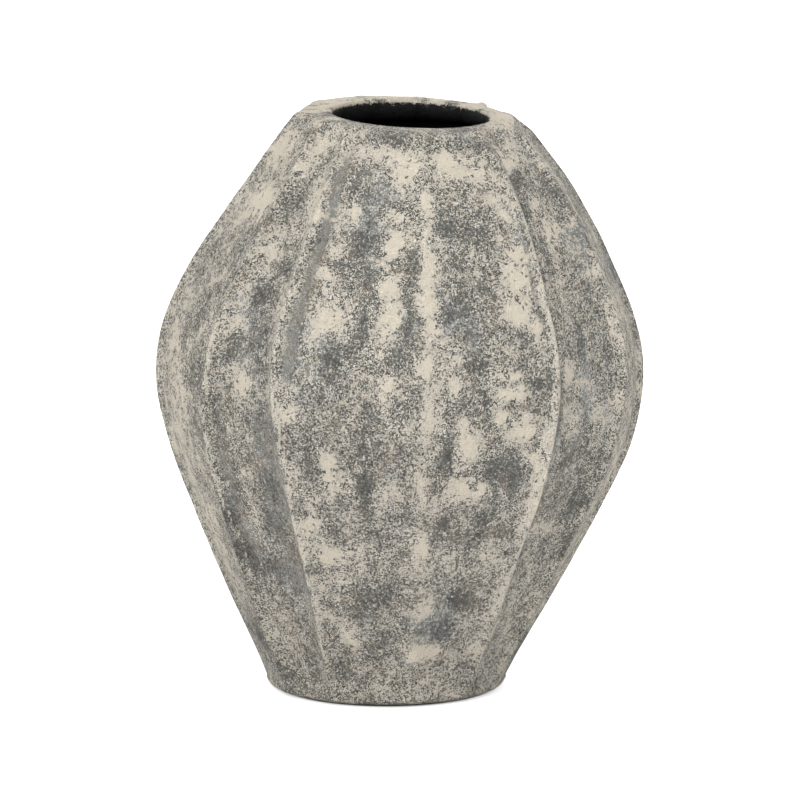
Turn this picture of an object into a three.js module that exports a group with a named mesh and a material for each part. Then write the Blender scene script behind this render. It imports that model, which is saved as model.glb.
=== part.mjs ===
// A hand-built lobed clay vase: a foot slab, a pinched wall, a smooth lip and four felt pads.
//
// Every clay piece is turned as a plain round blank first, with LatheGeometry. Then it is pressed
// by hand: the panels between the ridges sink in, and the pot leans a little, as soft clay does.
// Millimetres, +Z up, with the front of the vase towards -Y and the table at height 0.
import * as THREE from 'three';

// Heights above the table, and the thickness of the pieces between them
const PAD_THICKNESS = 2;
const FOOT_THICKNESS = 14;
const BELLY_HEIGHT = 190;
const RIM_HEIGHT = 357;
const LIP_HEIGHT = 15;
const FOOT_JOINT_HEIGHT = PAD_THICKNESS + FOOT_THICKNESS;
const RIM_JOINT_HEIGHT = RIM_HEIGHT - LIP_HEIGHT;

// Outside of the pot along its ridges: at the foot, at the belly and at the lip
const FOOT_RADIUS = 72.5;
const BELLY_RADIUS = 150.5;
const LIP_OUTER_RADIUS = 67;

// Walls and edges, and the height over which the wall's slope is measured
const WALL_THICKNESS = 12;
const SLOPE_SPAN = 2;
const FOOT_CORNER_RADIUS = 3.5;
const LIP_WIDTH = 19;
const LIP_OUTER_EDGE = 4;
const LIP_INNER_EDGE = 3;
const LIP_BULGE = 1;

// The mouth lies this far to the right of the middle of the lip.
const MOUTH_SHIFT = 3.5;

// The lip drops to the right by this much for each millimetre across.
const LIP_SLOPE = 0.045;

// How the pot swells from the foot to the belly, and how much of the swell is left from there to
// the lip, as [share of the way up, share of the swell].
const LOWER_SWELL = [
  [0, 0],
  [0.075, 0.087],
  [0.309, 0.372],
  [0.601, 0.705],
  [0.787, 0.891],
  [1, 1],
];
const UPPER_SWELL = [
  [0.211, 0.958],
  [0.452, 0.76],
  [0.675, 0.503],
  [0.825, 0.299],
  [0.916, 0.162],
  [1, 0],
];
const BODY_OUTLINE = [
  ...LOWER_SWELL.map(([up, swell]) => [
    THREE.MathUtils.lerp(PAD_THICKNESS, BELLY_HEIGHT, up),
    THREE.MathUtils.lerp(FOOT_RADIUS, BELLY_RADIUS, swell),
  ]),
  ...UPPER_SWELL.map(([up, swell]) => [
    THREE.MathUtils.lerp(BELLY_HEIGHT, RIM_HEIGHT, up),
    THREE.MathUtils.lerp(LIP_OUTER_RADIUS, BELLY_RADIUS, swell),
  ]),
];

// The foot stands this far to the left of the belly, and the pot bends back to the right above
// it, as [share of the height, share of that distance to the right].
const FOOT_SHIFT = 9;
const LEAN = [
  [0, -1],
  [0.17, -0.59],
  [0.34, -0.14],
  [0.42, 0.03],
  [0.53, 0],
  [0.7, 0],
  [0.87, 0.44],
  [1, 0.37],
];

// Bearing of each ridge in degrees at these shares of the height: 0 is the front, 90 the right.
const RIDGE_LEVELS = [0.056, 0.253, 0.449, 0.646, 0.927];
const RIDGES = [
  [-92, -90, -88, -88, -86],
  [-57, -55.8, -54.7, -52.8, -52],
  [-27, -28.3, -30.4, -31.8, -32.2],
  [11.5, 8.5, 5.3, 5.8, 6.4],
  [42, 38.5, 38.2, 40.8, 41.8],
  [66, 63.5, 64, 69, 71],
  [92, 90, 91, 99, 107],
  [138, 136, 133, 136, 140],
  [170, 172, 168, 171, 174],
  [203, 206, 204, 201, 206],
  [238, 235, 239, 240, 238],
];

// Depth of a common panel, of this width between two ridges, and the bead pinched along a ridge.
const PANEL_DEPTH = 5.5;
const PANEL_WIDTH = 86;
const BEAD_HEIGHT = 1.8;
const BEAD_WIDTH = 3.5;

// The panel to the right of each ridge against a common one, and the bead along that ridge. The
// two panels at the front are nearly flat, and the narrow ones beside them are deep.
const PANELS = [0.9, 1.9, 0.65, 0.65, 1.6, 1, 1, 0.9, 1.1, 1, 1.1];
const BEADS = [1, 1.2, 1.2, 0.5, 1.2, 1, 1, 1, 1, 1, 1];

// The inside of the wall follows the panels by this share.
const INSIDE_SHARE = 0.6;

// The panels grow shallow towards the lip and the foot: their share there, and over what height.
const LIP_SHARE = 0.7;
const LIP_FADE = 12;
const FOOT_SHARE = 0.2;
const FOOT_FADE = 22;

// Felt pads under the foot
const PAD_DIAMETER = 20;
const PAD_CIRCLE_RADIUS = 50;
const PAD_NAMES = ['felt_pad_right', 'felt_pad_back', 'felt_pad_left', 'felt_pad_front'];

// Fineness of the blanks
const COLUMNS_PER_LOBE = 8;
const OUTSIDE_ROW = 13;
const INSIDE_ROW = 26;
const EDGE_STEPS = 2;
const PAD_SIDES = 24;

const grayClay = new THREE.MeshStandardMaterial({ color: 0xa39f96, roughness: 0.92, metalness: 0 });
const smoothClay = new THREE.MeshStandardMaterial({ color: 0xc6beae, roughness: 0.85, metalness: 0 });
const footClay = new THREE.MeshStandardMaterial({ color: 0x938f83, roughness: 0.92, metalness: 0 });
const felt = new THREE.MeshStandardMaterial({ color: 0x3a3734, roughness: 1, metalness: 0 });

// Slope and height of a smooth curve through points whose first value rises.
function slopeAt(points, i) {
  const before = points[Math.max(i - 1, 0)];
  const after = points[Math.min(i + 1, points.length - 1)];
  return (after[1] - before[1]) / (after[0] - before[0]);
}

function through(points, x) {
  let i = 0;
  while (i < points.length - 2 && x > points[i + 1][0]) {
    i += 1;
  }
  const [x0, y0] = points[i];
  const [x1, y1] = points[i + 1];
  const t = THREE.MathUtils.clamp((x - x0) / (x1 - x0), 0, 1);
  const startRise = slopeAt(points, i) * (x1 - x0);
  const endRise = slopeAt(points, i + 1) * (x1 - x0);
  const cubic = 2 * (y0 - y1) + startRise + endRise;
  const square = 3 * (y1 - y0) - 2 * startRise - endRise;
  return y0 + t * (startRise + t * (square + t * cubic));
}

function bodyRadius(z) {
  return through(BODY_OUTLINE, z);
}

function lean(z) {
  return FOOT_SHIFT * through(LEAN, z / RIM_HEIGHT);
}

// The wall is equally thick across its slope, so its inside is further in where it slopes more.
function insideRadius(z) {
  const slope = (bodyRadius(z + SLOPE_SPAN / 2) - bodyRadius(z - SLOPE_SPAN / 2)) / SLOPE_SPAN;
  return bodyRadius(z) - WALL_THICKNESS * Math.hypot(1, slope);
}

// Bearing of a ridge at a height. Ridges are counted on past a full turn.
function ridgeBearing(count, z) {
  const turns = Math.floor(count / RIDGES.length);
  const bearings = RIDGES[count - turns * RIDGES.length];
  return 360 * turns + through(RIDGE_LEVELS.map((level, i) => [level, bearings[i]]), z / RIM_HEIGHT);
}

// Where a point of the round blank goes between its two ridges. Columns of points crowd towards
// the ridges, where the surface turns fastest.
function pressedBearing(turn, z) {
  const place = turn * RIDGES.length;
  const lobe = Math.floor(place + 1e-6);
  const even = place - lobe;
  const across = even - 0.11 * Math.sin(2 * Math.PI * even);
  const start = THREE.MathUtils.degToRad(ridgeBearing(lobe, z));
  const end = THREE.MathUtils.degToRad(ridgeBearing(lobe + 1, z));
  return { bearing: start + (end - start) * across, across, lobe, lobeAngle: end - start };
}

// Rises smoothly from a share to 1 as the way goes from 0 to 1.
function fade(share, way) {
  return THREE.MathUtils.lerp(share, 1, THREE.MathUtils.smoothstep(way, 0, 1));
}

// How far the outside lies within the ridge line: nothing on a ridge, most in mid-panel.
function panelDip(across, lobe, lobeAngle, z) {
  const lobeWidth = lobeAngle * bodyRadius(z);
  const fromRidge = lobeWidth * Math.min(across, 1 - across);
  const hollow = PANELS[lobe % PANELS.length] * (1 - Math.abs(2 * across - 1) ** 2.6);
  const nearest = BEADS[(across < 0.5 ? lobe : lobe + 1) % BEADS.length];
  const bead = 1 - nearest * Math.exp(-((fromRidge / BEAD_WIDTH) ** 2));
  const lip = fade(LIP_SHARE, (RIM_HEIGHT - z) / LIP_FADE);
  const foot = fade(FOOT_SHARE, (z - PAD_THICKNESS) / FOOT_FADE);
  return lip * foot * (PANEL_DEPTH * (lobeWidth / PANEL_WIDTH) * hollow + BEAD_HEIGHT * bead);
}

// Turns a profile of (radius, height) points into a round blank with +Z up, then presses it.
function pressedClay(profile) {
  const blank = new THREE.LatheGeometry(profile, RIDGES.length * COLUMNS_PER_LOBE);
  blank.rotateX(Math.PI / 2);
  const points = blank.attributes.position;
  for (let i = 0; i < points.count; i += 1) {
    const x = points.getX(i);
    const y = points.getY(i);
    const z = points.getZ(i);
    const radius = Math.hypot(x, y);
    const turn = Math.atan2(x, -y) / (2 * Math.PI);
    const { bearing, across, lobe, lobeAngle } = pressedBearing(turn < -1e-9 ? turn + 1 : turn, z);
    const raised = THREE.MathUtils.clamp((z - RIM_JOINT_HEIGHT) / LIP_HEIGHT, 0, 1);
    const depth = THREE.MathUtils.clamp((bodyRadius(z) - radius) / (bodyRadius(z) - insideRadius(z)), 0, 1);
    const share = THREE.MathUtils.lerp(1, INSIDE_SHARE * (1 - raised), depth);
    const pressed = radius - Math.min(radius, share * panelDip(across, lobe, lobeAngle, z));
    const pressedX = pressed * Math.sin(bearing);
    points.setXYZ(
      i,
      pressedX + lean(z) + raised * depth * MOUTH_SHIFT,
      -pressed * Math.cos(bearing),
      z - raised * LIP_SLOPE * pressedX,
    );
  }
  blank.computeVertexNormals();
  return blank;
}

// Heights from one level to another, both ends included, about one row apart.
function rows(from, to, spacing) {
  const count = Math.ceil(Math.abs(to - from) / spacing);
  return Array.from({ length: count + 1 }, (_, i) => from + ((to - from) * i) / count);
}

function named(name, geometry, material) {
  const mesh = new THREE.Mesh(geometry, material);
  mesh.name = name;
  return mesh;
}

function footSlab() {
  const cornerHeight = PAD_THICKNESS + FOOT_CORNER_RADIUS;
  const cornerCentre = bodyRadius(cornerHeight) - FOOT_CORNER_RADIUS;
  const profile = new THREE.Path();
  profile.moveTo(0, PAD_THICKNESS);
  profile.lineTo(PAD_CIRCLE_RADIUS, PAD_THICKNESS);
  profile.absarc(cornerCentre, cornerHeight, FOOT_CORNER_RADIUS, -Math.PI / 2, 0, false);
  profile.lineTo(bodyRadius(FOOT_JOINT_HEIGHT), FOOT_JOINT_HEIGHT);
  profile.lineTo(insideRadius(FOOT_JOINT_HEIGHT), FOOT_JOINT_HEIGHT);
  profile.lineTo(0, FOOT_JOINT_HEIGHT);
  return named('foot_slab', pressedClay(profile.getPoints(EDGE_STEPS)), footClay);
}

function lobedWall() {
  const outside = rows(FOOT_JOINT_HEIGHT, RIM_JOINT_HEIGHT, OUTSIDE_ROW);
  const inside = rows(RIM_JOINT_HEIGHT, FOOT_JOINT_HEIGHT, INSIDE_ROW);
  const profile = [
    ...outside.map((z) => new THREE.Vector2(bodyRadius(z), z)),
    ...inside.map((z) => new THREE.Vector2(insideRadius(z), z)),
  ];
  profile.push(profile[0].clone());
  return named('lobed_wall', pressedClay(profile), grayClay);
}

// The lip: its outside runs on from the wall, its top is flat, and its inside hooks back under.
function rimCoil() {
  const outerEdge = LIP_OUTER_RADIUS - LIP_OUTER_EDGE;
  const mouth = LIP_OUTER_RADIUS - LIP_WIDTH;
  const innerEdge = mouth + LIP_INNER_EDGE;
  const outside = rows(RIM_JOINT_HEIGHT, RIM_HEIGHT - LIP_OUTER_EDGE, OUTSIDE_ROW / 3);
  const profile = new THREE.Path();
  profile.moveTo(bodyRadius(RIM_JOINT_HEIGHT), RIM_JOINT_HEIGHT);
  outside.slice(1).forEach((z) => profile.lineTo(bodyRadius(z), z));
  profile.quadraticCurveTo(LIP_OUTER_RADIUS + LIP_BULGE, RIM_HEIGHT, outerEdge, RIM_HEIGHT);
  profile.absarc(innerEdge, RIM_HEIGHT - LIP_INNER_EDGE, LIP_INNER_EDGE, Math.PI / 2, Math.PI, false);
  profile.quadraticCurveTo(
    mouth + LIP_BULGE,
    RIM_JOINT_HEIGHT,
    insideRadius(RIM_JOINT_HEIGHT),
    RIM_JOINT_HEIGHT,
  );
  profile.closePath();
  return named('rim_coil', pressedClay(profile.getPoints(EDGE_STEPS)), smoothClay);
}

// One felt disc under the foot, at a bearing counted anticlockwise from the right.
function feltPad(name, angle) {
  const disc = new THREE.CylinderGeometry(PAD_DIAMETER / 2, PAD_DIAMETER / 2, PAD_THICKNESS, PAD_SIDES);
  disc.rotateX(Math.PI / 2);
  const pad = named(name, disc, felt);
  pad.position.set(
    lean(PAD_THICKNESS) + PAD_CIRCLE_RADIUS * Math.cos(angle),
    PAD_CIRCLE_RADIUS * Math.sin(angle),
    PAD_THICKNESS / 2,
  );
  return pad;
}

const vase = new THREE.Group();
vase.add(footSlab(), lobedWall(), rimCoil());
PAD_NAMES.forEach((name, i) => vase.add(feltPad(name, (2 * Math.PI * i) / PAD_NAMES.length)));

// The origin is the middle of the vase's outline, on the table.
const middle = new THREE.Box3().setFromObject(vase).getCenter(new THREE.Vector3());
vase.position.set(-middle.x, -middle.y, 0);

export default vase;
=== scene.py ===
import math

import bpy
import numpy as np
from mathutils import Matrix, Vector


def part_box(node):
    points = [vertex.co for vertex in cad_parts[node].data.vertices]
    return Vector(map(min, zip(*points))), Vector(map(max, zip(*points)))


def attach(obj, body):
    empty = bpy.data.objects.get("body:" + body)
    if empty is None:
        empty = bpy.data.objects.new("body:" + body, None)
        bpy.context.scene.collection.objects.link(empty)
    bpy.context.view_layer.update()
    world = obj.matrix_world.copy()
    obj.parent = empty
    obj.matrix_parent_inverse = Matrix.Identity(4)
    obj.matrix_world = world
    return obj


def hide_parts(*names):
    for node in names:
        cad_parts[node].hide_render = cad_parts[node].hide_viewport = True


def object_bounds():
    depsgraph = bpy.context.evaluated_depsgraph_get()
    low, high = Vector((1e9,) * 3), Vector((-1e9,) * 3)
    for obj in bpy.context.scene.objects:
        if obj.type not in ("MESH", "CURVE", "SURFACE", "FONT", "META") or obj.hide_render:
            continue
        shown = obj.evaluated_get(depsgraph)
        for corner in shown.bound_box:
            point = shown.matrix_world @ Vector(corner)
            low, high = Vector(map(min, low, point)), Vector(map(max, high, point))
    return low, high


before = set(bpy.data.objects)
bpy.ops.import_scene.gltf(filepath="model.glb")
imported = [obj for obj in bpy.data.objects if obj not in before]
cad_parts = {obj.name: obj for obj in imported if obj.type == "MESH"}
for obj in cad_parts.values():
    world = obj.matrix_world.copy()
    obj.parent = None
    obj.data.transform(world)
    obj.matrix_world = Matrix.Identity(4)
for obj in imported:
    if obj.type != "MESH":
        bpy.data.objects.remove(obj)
cad_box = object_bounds()

MM = 0.001


def heights(name):
    """Lowest and highest point of a solid, in millimetres."""
    low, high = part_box(name)
    return low.z / MM, high.z / MM


# Heights of the clay pieces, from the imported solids
FOOT_BOTTOM, FOOT_JOINT = heights("foot_slab")
LIP_JOINT = heights("lobed_wall")[1]
LIP_HEIGHT = 15
RIM_HEIGHT = LIP_JOINT + LIP_HEIGHT

# Outside of the pot along its ridges
FOOT_RADIUS, BELLY_RADIUS, LIP_OUTER_RADIUS = 72.5, 150.5, 67
BELLY_HEIGHT = 190

# The wall and the edges, and the height over which the wall's slope is measured
WALL_THICKNESS = 12
SLOPE_SPAN = 2
FOOT_CORNER_RADIUS = 3.5
LIP_WIDTH, LIP_OUTER_EDGE, LIP_INNER_EDGE, LIP_BULGE = 19, 4, 3, 1

# The lip drops to the right by this much for each millimetre across, and the mouth lies this far
# to the right of the lip's middle.
LIP_SLOPE, MOUTH_SHIFT = 0.045, 3.5

# [share of the way up, share of the swell], from the foot to the belly and from there to the lip
LOWER_SWELL = [[0, 0], [0.075, 0.087], [0.309, 0.372], [0.601, 0.705], [0.787, 0.891], [1, 1]]
UPPER_SWELL = [
    [0.211, 0.958], [0.452, 0.76], [0.675, 0.503], [0.825, 0.299], [0.916, 0.162], [1, 0],
]
BODY_OUTLINE = [
    [
        FOOT_BOTTOM + up * (BELLY_HEIGHT - FOOT_BOTTOM),
        FOOT_RADIUS + swell * (BELLY_RADIUS - FOOT_RADIUS),
    ]
    for up, swell in LOWER_SWELL
] + [
    [
        BELLY_HEIGHT + up * (RIM_HEIGHT - BELLY_HEIGHT),
        LIP_OUTER_RADIUS + swell * (BELLY_RADIUS - LIP_OUTER_RADIUS),
    ]
    for up, swell in UPPER_SWELL
]

# The foot stands this far to the left of the belly, and the pot bends back to the right above it,
# as [share of the height, share of that distance to the right].
FOOT_SHIFT = 9
LEAN = [
    [0, -1], [0.17, -0.59], [0.34, -0.14], [0.42, 0.03], [0.53, 0], [0.7, 0], [0.87, 0.44],
    [1, 0.37],
]

# Bearings of the ridges at these shares of the height
RIDGE_LEVELS = [0.056, 0.253, 0.449, 0.646, 0.927]
RIDGES = [
    [-92, -90, -88, -88, -86],
    [-57, -55.8, -54.7, -52.8, -52],
    [-27, -28.3, -30.4, -31.8, -32.2],
    [11.5, 8.5, 5.3, 5.8, 6.4],
    [42, 38.5, 38.2, 40.8, 41.8],
    [66, 63.5, 64, 69, 71],
    [92, 90, 91, 99, 107],
    [138, 136, 133, 136, 140],
    [170, 172, 168, 171, 174],
    [203, 206, 204, 201, 206],
    [238, 235, 239, 240, 238],
]
LOBES = len(RIDGES)

# A common panel's depth at this width between two ridges, and how flat its middle is: a parabola
# at 2, flatter above it
PANEL_DEPTH, PANEL_WIDTH, PANEL_FLATNESS = 5.5, 86, 2.6

# The bead pinched along a common ridge, and how far from a ridge the limewash counts as its crest
BEAD_HEIGHT, BEAD_WIDTH = 1.8, 3.5
CREST_WIDTH = 6

# The panel to the right of each ridge against a common one, and the bead along that ridge
PANELS = [0.9, 1.9, 0.65, 0.65, 1.6, 1, 1, 0.9, 1.1, 1, 1.1]
BEADS = [1, 1.2, 1.2, 0.5, 1.2, 1, 1, 1, 1, 1, 1]

# The inside of the wall follows the panels by this share. Towards the lip and the foot they grow
# shallow: their share there, and over what height.
INSIDE_SHARE = 0.6
LIP_SHARE, LIP_FADE = 0.7, 12
FOOT_SHARE, FOOT_FADE = 0.2, 22

# Beads and creases that the fingers left along a ridge: the ridge's place in the list above,
# millimetres to its right at the lowest height and at the highest, width, lowest height, highest
# height, how far it stands out, and its strokes: light lime above 0, partly a painted highlight
# along the bead, and painted shade in the crease below 0
CREASES = [
    (0, 0, 0, 4, 30, 340, 0, 0.3),
    (1, 4, 0, 1.5, 70, 250, 0.7, 0.8), (1, 8, 8, 5, 80, 215, -1.4, -0.5),
    (1, -9, -9, 6, 190, 225, -0.8, -0.4),
    (2, -2, -2, 5, 190, 345, 1.2, 0.5), (2, 9, 7, 4, 208, 352, -2.6, -1.2),
    (2, 1, 2, 1.7, 20, 215, 0.9, 0.8), (2, -10, -8, 8, 60, 205, -1.6, -0.45),
    (2, -7, -6, 5, 15, 110, 0, -0.3), (2, -21, -18, 8, 65, 190, 0, -0.45),
    (3, 2, 2, 2.8, 165, 338, 0.2, 0.7),
    (4, 1, 1, 3.4, 50, 345, 1.0, 1.0), (4, -4.5, -4, 3, 30, 215, 0.2, 0.5),
    (4, 12, 9, 6, 20, 205, 0, -0.35), (4, 6.5, 7.5, 2.5, 85, 325, -1.8, -0.5),
    (4, 5.5, 6.5, 1.6, 150, 222, -0.8, -1.2), (4, -3.5, -3.5, 1.4, 225, 312, -1.5, -0.8),
    (5, 0, 0, 3, 110, 290, 0.4, 0.4), (5, 6, 6, 5, 60, 190, -0.8, -0.2),
    (6, 0, 0, 3, 40, 330, 0, 0.3), (6, -8, -8, 6, 120, 250, -1.0, -0.2),
    (7, 0, 0, 2.5, 60, 340, 0.6, 1.0), (7, 6, 8, 5, 90, 300, -1.6, -0.8),
    (7, -7, -7, 3.5, 325, 380, 2.5, 0.2),
    (8, 0, 0, 2.5, 30, 290, 0.5, 1.0), (8, -7, -9, 6, 150, 330, -1.5, -0.9),
    (9, -1, -1, 2.5, 110, 345, 0.8, 1.0), (9, 6, 8, 5, 60, 240, -1.5, -0.8),
    (10, 0, 0, 2.5, 40, 320, 0.5, 1.0), (10, -6, -6, 5, 100, 290, -1.4, -0.9),
]

# A crease starts and ends softly over this height.
CREASE_FADE = 16

# It wanders to the side in waves of these millimetres, and the finger's pressure changes by this
# share: how much, over what height, and how far the wave is moved on from ridge to ridge.
CREASE_WANDER = [(0.9, 17, 2), (0.5, 6.4, 5)]
CREASE_PRESSURE = (0.12, 9, 3)

# Dabs of limewash (strength above 0) and places rubbed back to the clay (below 0), as
# (bearing, height, width, length, strength)
DABS = [
    # from the left edge to the second ridge
    (-76, 335, 22, 14, 0.8), (-66, 310, 16, 16, 0.8), (-78, 305, 14, 8, 0.5),
    (-66, 262, 9, 6, 0.6), (-78, 225, 14, 18, 0.6), (-72, 195, 18, 16, 0.4),
    (-80, 120, 14, 50, 0.6), (-70, 115, 9, 8, 0.6), (-64, 148, 8, 10, 0.5),
    (-75, 165, 20, 20, 0.4), (-70, 75, 16, 10, 0.3), (-75, 200, 36, 130, 0.28),
    (-69, 283, 8, 7, 0.9), (-58, 318, 7, 8, 0.8), (-60, 288, 7, 8, -0.8), (-80, 262, 12, 8, -0.6),
    (-62, 208, 10, 10, -0.8), (-75, 280, 16, 8, -0.5), (-70, 240, 14, 8, -0.4),
    (-74, 35, 16, 10, -0.8), (-63, 130, 6, 14, -0.4),
    # the sunken panel left of the front
    (-46, 290, 12, 11, 0.8), (-48, 243, 10, 6, 0.7), (-43, 205, 10, 14, 0.7),
    (-36, 315, 10, 12, 1.0), (-44, 345, 11, 7, 0.5), (-46, 50, 11, 13, 0.25),
    (-44, 180, 11, 7, 0.35), (-50, 330, 9, 7, 0.5), (-35, 262, 6, 12, 0.6),
    (-45, 130, 6, 10, 0.3), (-46, 314, 8, 6, -1.1), (-44, 262, 8, 9, -0.8),
    (-36, 278, 9, 8, -0.9), (-37, 237, 8, 14, -0.9), (-48, 225, 5, 8, -0.7),
    (-54, 120, 6, 7, -1.3), (-53, 98, 8, 11, -1.4), (-45, 92, 9, 10, -0.7),
    (-36, 145, 8, 20, -0.5), (-35, 115, 6, 20, -0.4), (-50, 165, 6, 26, -0.4),
    (-36, 60, 9, 12, -0.5),
    # the front panel left of the middle
    (-21, 313, 10, 9, 1.2), (-22, 291, 9, 4, 1.1), (-24, 277, 8, 4, 1.0), (-23, 270, 5, 4, 0.9),
    (-19, 252, 11, 8, 1.3), (-23, 238, 6, 6, 0.8), (-14, 241, 6, 4, 0.5), (-4, 295, 8, 10, 1.5),
    (-6, 311, 9, 3, 1.1), (-4, 270, 7, 8, 1.4), (-2.5, 254, 7, 8, 1.3), (-5, 242, 7, 3.5, 0.9),
    (-2.5, 216, 2.5, 6, 1.3), (-4.5, 208, 2.5, 4, 1.1), (-18, 168, 5, 8, 1.1),
    (-17, 155, 8, 10, 0.8), (-4, 146, 8, 11, 0.7), (-19, 103, 12, 6, 1.3), (-16, 47, 7, 11, 0.8),
    (-14, 128, 9, 7, 0.4), (-25, 125, 7, 7, 0.5), (-1, 335, 10, 8, 1.0), (-8, 345, 12, 6, 1.0),
    (-25, 343, 12, 6, 0.7), (-23, 84, 7, 7, 0.4), (-12, 205, 12, 7, 0.3), (-26, 195, 6, 12, 0.4),
    (-21, 60, 7, 5, 0.5), (-13, 303, 7, 12, -1.2), (-12, 320, 9, 4, -0.8), (-10, 275, 5, 8, -0.9),
    (-10, 252, 4, 11, -0.9), (-19, 300, 9, 2, -0.9), (-20, 283, 10, 2, -0.7),
    (-18, 228, 8, 11, -1.2), (-11, 236, 7, 5, -0.6), (-7, 195, 8, 8, -0.7),
    (-23, 170, 5, 12, -1.0), (-10, 172, 8, 10, -0.8), (-9, 147, 5, 13, -1.2),
    (-10, 72, 8, 10, -0.9), (-1, 228, 4, 8, -0.6), (-5, 176, 8, 6, -0.5), (0, 40, 8, 10, -0.4),
    (-17, 216, 10, 5, -0.5), (-19, 120, 6, 5, -0.4), (-4, 76, 8, 6, -0.5),
    # the low rib in the middle, with lumps of limewash down its length
    (7, 320, 4.5, 9, 1.2), (7.2, 303, 4, 8, 0.8), (7.5, 284, 6, 9, 1.3), (7, 264, 6, 11, 1.3),
    (7.5, 247, 4, 7, 1.1), (5.5, 226, 7, 8, 1.4), (7.5, 210, 5, 6, 0.9), (7, 193, 7, 10, 1.2),
    (5, 156, 5, 10, 1.2), (6, 141, 5, 5, 0.8), (7, 107, 5, 9, 1.1), (11, 68, 9, 8, 1.3),
    (14, 38, 12, 8, 1.1), (8, 125, 4, 6, 0.4),
    # the front panel right of the middle
    (35, 270, 12, 12, 1.4), (37, 286, 8, 5, 1.0), (32, 254, 10, 7, 1.3), (37, 243, 7, 6, 0.9),
    (28, 217, 8, 3.5, 1.5), (29.5, 205.5, 11, 5, 1.7), (24.5, 192.5, 5, 3.5, 1.6),
    (31, 183, 10, 7, 1.6), (32, 192, 6, 2.5, 1.2), (17.5, 174, 8, 10, 1.7),
    (15.5, 191, 4, 7, 1.1), (13, 212, 4.5, 11, 0.9), (15.5, 148, 10, 7, 1.5),
    (21, 146, 4, 5, 1.0), (36, 153, 5, 11, 0.8), (34, 165, 3, 2.5, 1.0), (37, 130, 5, 9, 0.6),
    (29, 100, 11, 12, 0.3), (17, 340, 9, 7, 1.2), (30, 334, 12, 7, 0.8), (38, 318, 7, 14, 0.8),
    (-7, 351, 9, 4, -1.0), (38, 348, 9, 5, -0.7), (33, 35, 12, 12, 0.5), (19, 288, 8, 6, 0.5),
    (32, 318, 11, 7, 0.4), (24, 280, 7, 5, 0.3), (2.5, 277, 3.5, 18, -0.8), (2, 250, 4, 10, -0.7),
    (13, 304, 8, 6, -0.7), (13.5, 255, 5, 8, -1.4), (20, 243, 9, 10, -0.8), (20, 222, 6, 9, -1.0),
    (21, 202, 3, 8, -0.8), (23, 158, 6, 7, -1.2), (29, 155, 8, 9, -0.9), (22, 115, 8, 14, -1.1),
    (11.5, 172, 3.5, 12, -1.1), (22, 72, 8, 8, -1.2), (19, 52, 10, 8, -1.1),
    (12, 122, 5, 10, -0.6), (29, 199, 8, 1.6, -0.9), (29, 211.5, 8, 1.2, -0.5),
    (35, 211, 4, 3, -0.9), (25, 304, 14, 6, -0.5), (28, 245, 7, 3, -0.9), (2, 170, 4, 8, -0.6),
    (17, 158, 8, 1.5, -0.9), (36, 226, 5, 6, -0.5), (2, 132, 5, 12, -0.4), (30, 78, 8, 14, -0.5),
    # the sunken panel right of the front, and the right edge
    (54, 290, 13, 18, 0.45), (48, 333, 5, 3, 1.3), (53, 337, 10, 4, 0.6), (47, 214, 7, 9, 1.1),
    (44, 190, 3, 5, 0.9), (77, 222, 11, 11, 0.6), (80, 120, 13, 45, 0.45), (48, 95, 8, 8, 0.3),
    (66, 180, 7, 18, 0.3), (44, 42, 9, 14, 0.5), (78, 335, 13, 11, 0.5), (56, 310, 8, 7, 0.4),
    (49, 325, 8, 4, -0.9), (49, 158, 8, 12, -0.6), (54, 225, 8, 14, -0.5),
    (59, 128, 10, 10, -1.0), (64, 95, 10, 12, -0.9), (73, 288, 9, 5, -0.6), (43, 269, 2, 6, -1.2),
    (70, 315, 9, 8, -0.5), (84, 296, 9, 22, 0.45), (90, 250, 10, 20, 0.25),
    (76, 230, 24, 110, 0.25), (54, 190, 6, 10, -0.6), (48, 300, 5, 12, -0.4),
    (41, 298, 1.6, 10, -1.0),
    # the lip
    (-72, 358, 15, 6, -0.6), (150, 357, 7, 4, -0.4), (172, 357, 6, 4, -0.35),
    (205, 357, 9, 4, -0.5),
]

# The back is dabbed and rubbed at random, as often as the front is.
BACK_DABS = 130
BACK_SEED = 11
chance = np.random.default_rng(BACK_SEED)
DABS += [
    (
        chance.uniform(88, 272),
        chance.uniform(10, 345),
        chance.uniform(5, 14),
        chance.uniform(7, 16),
        side * chance.uniform(0.4, 1),
    )
    for side in (1, -1) * (BACK_DABS // 2)
]

# The smooth coat of the lip is worn off its front by this share.
LIP_WEAR = 0.8

# The sealing coat is thin at the mouth's edge and builds up in two steps: share, over what depth
SEALING = [(0.58, 3.6), (0.42, 10)]

# Share of the skin's relief that the wet finger left on the smoothed edges
FOOT_CORNER_RELIEF, BROW_RELIEF, LIP_RELIEF, MOUTH_RELIEF = 0.3, 0.8, 0.7, 0.5

# Fineness of the meshes: columns round the pot, which crowd towards the ridges by this share of a
# lobe, millimetres from row to row, and rows in each curve of the lip
COLUMNS_PER_LOBE, CROWDING = 50, 0.07
COLUMNS = COLUMNS_PER_LOBE * LOBES
OUTSIDE_ROW, LIP_ROW, FLOOR_ROW, INSIDE_ROW = 2.2, 1.5, 6, 13
BROW_ROWS, MOUTH_ROWS, THROAT_ROWS = 4, 7, 8

# Radius of the smallest ring round the middle of a floor
POLE_RADIUS = 4


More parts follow.
